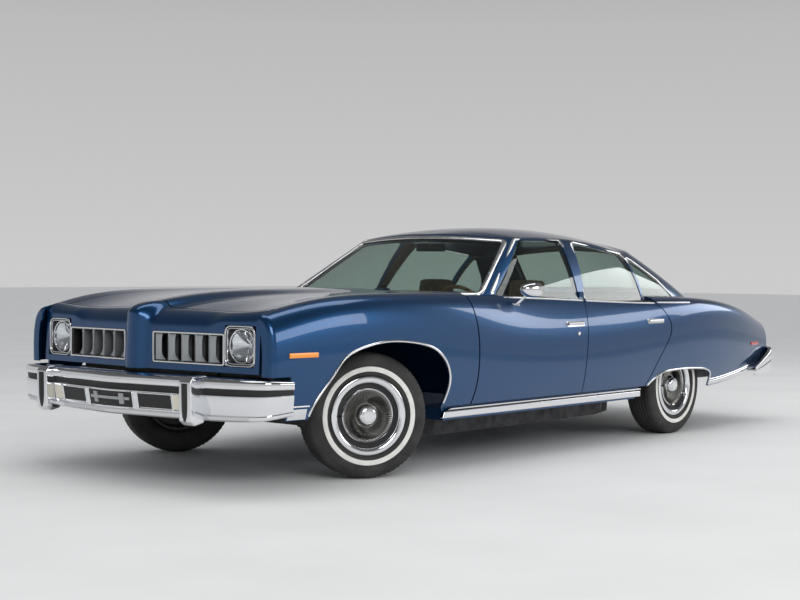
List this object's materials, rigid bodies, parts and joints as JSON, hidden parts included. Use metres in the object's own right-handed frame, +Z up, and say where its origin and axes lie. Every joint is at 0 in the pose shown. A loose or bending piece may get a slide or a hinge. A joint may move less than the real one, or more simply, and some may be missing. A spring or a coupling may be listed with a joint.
{
  "type": "midsize sedan",
  "caption": "Four-door midsize sedan of mid-1970s American form: opening doors, hood and trunk lid, steering front wheels, free-rolling wheels, hollow cabin.",
  "frame": {"origin": "on the floor under the middle of the car's overall length", "axes": "+X towards the front of the car, +Y to its left, +Z up"},
  "size_m": [5.38, 2.0209, 1.3445],
  "materials": {
    "paint": "deep metallic blue, glossy",
    "chrome": "bright plated",
    "glass": "lightly tinted",
    "tail_lens": "red lens",
    "tyre": "black with a thin white sidewall ring",
    "trim": "tan moulded trim",
    "seat_cover": "tan knitted cloth",
    "chassis": "black chassis paint",
    "iron": "rough cast",
    "steel": "dull bare steel"
  },
  "bodies": {
    "body": {"frame": "chassis", "floor_pan": "chassis", "firewall": "paint", "rear_shelf": "trim", "roof": "paint", "windshield": "glass", "rear_window": "glass", "quarter_glass_left": "glass", "quarter_glass_right": "glass", "fender_left": "paint", "fender_right": "paint", "nose_panel": "paint", "grille_left": "chrome", "grille_right": "chrome", "headlamp_left": "chrome", "headlamp_right": "chrome", "quarter_panel_left": "paint", "quarter_panel_right": "paint", "rear_deck": "paint", "rear_panel": "paint", "tail_lamp_left": "tail_lens", "tail_lamp_right": "tail_lens", "front_bumper": "chrome", "rear_bumper": "chrome", "engine": "iron", "radiator": "chassis", "rear_axle": "iron", "exhaust": "steel", "fuel_tank": "steel", "dashboard": "trim", "front_seat": "seat_cover", "rear_seat": "seat_cover"},
    "hood_lid": {"hood": "paint"},
    "trunk": {"trunk_lid": "paint"},
    "door_front_left": {"front_door_left": "paint", "front_door_glass_left": "glass", "door_mirror": "chrome"},
    "door_front_right": {"front_door_right": "paint", "front_door_glass_right": "glass"},
    "door_rear_left": {"rear_door_left": "paint", "rear_door_glass_left": "glass"},
    "door_rear_right": {"rear_door_right": "paint", "rear_door_glass_right": "glass"},
    "steering": {"steering_wheel": "trim"},
    "steer_left": {"knuckle_left": "iron"},
    "steer_right": {"knuckle_right": "iron"},
    "roll_front_left": {"wheel_front_left": "chrome", "tyre_front_left": "tyre"},
    "roll_front_right": {"wheel_front_right": "chrome", "tyre_front_right": "tyre"},
    "roll_rear_left": {"wheel_rear_left": "chrome", "tyre_rear_left": "tyre"},
    "roll_rear_right": {"wheel_rear_right": "chrome", "tyre_rear_right": "tyre"}
  },
  "joints": [
    {"name": "hood_hinge", "type": "hinge", "parent": "body", "child": "hood_lid", "pos_m": [1.04, 0, 0.888], "axis": [0, -1, 0], "range_deg": [0, 52]},
    {"name": "trunk_hinge", "type": "hinge", "parent": "body", "child": "trunk", "pos_m": [-1.8, 0, 0.838], "axis": [0, 1, 0], "range_deg": [0, 50]},
    {"name": "door_front_left_hinge", "type": "hinge", "parent": "body", "child": "door_front_left", "pos_m": [0.885, 0.962, 0.6], "axis": [0, 0, 1], "range_deg": [-65, 0]},
    {"name": "door_front_right_hinge", "type": "hinge", "parent": "body", "child": "door_front_right", "pos_m": [0.885, -0.962, 0.6], "axis": [0, 0, 1], "range_deg": [0, 65]},
    {"name": "door_rear_left_hinge", "type": "hinge", "parent": "body", "child": "door_rear_left", "pos_m": [-0.215, 0.962, 0.6], "axis": [0, 0, 1], "range_deg": [-65, 0]},
    {"name": "door_rear_right_hinge", "type": "hinge", "parent": "body", "child": "door_rear_right", "pos_m": [-0.215, -0.962, 0.6], "axis": [0, 0, 1], "range_deg": [0, 65]},
    {"name": "steering_turn", "type": "hinge", "parent": "body", "child": "steering", "pos_m": [0.3, 0.37, 0.795], "axis": [-0.9184, 0, 0.3957], "range_deg": [-144, 1008]},
    {"name": "steer_left_turn", "type": "hinge", "parent": "body", "child": "steer_left", "pos_m": [1.608, 0.7, 0.32322], "axis": [0, 0, 1], "range_deg": [-9, 63]},
    {"name": "steer_right_turn", "type": "hinge", "parent": "body", "child": "steer_right", "pos_m": [1.608, -0.7, 0.32322], "axis": [0, 0, 1], "range_deg": [-9, 63]},
    {"name": "roll_front_left_spin", "type": "hinge", "parent": "steer_left", "child": "roll_front_left", "pos_m": [1.64205, 0.76683, 0.32322], "axis": [0.454, 0.891, 0], "continuous": true},
    {"name": "roll_front_right_spin", "type": "hinge", "parent": "steer_right", "child": "roll_front_right", "pos_m": [1.57395, -0.76683, 0.32322], "axis": [0.454, 0.891, 0], "continuous": true},
    {"name": "roll_rear_left_spin", "type": "hinge", "parent": "body", "child": "roll_rear_left", "pos_m": [-1.338, 0.775, 0.32322], "axis": [0, 1, 0], "continuous": true},
    {"name": "roll_rear_right_spin", "type": "hinge", "parent": "body", "child": "roll_rear_right", "pos_m": [-1.338, -0.775, 0.32322], "axis": [0, 1, 0], "continuous": true}
  ],
  "couplings": [
    {"joint": "steer_left_turn", "follows": "steering_turn", "ratio": 0.0625},
    {"joint": "steer_right_turn", "follows": "steering_turn", "ratio": 0.0625}
  ]
}
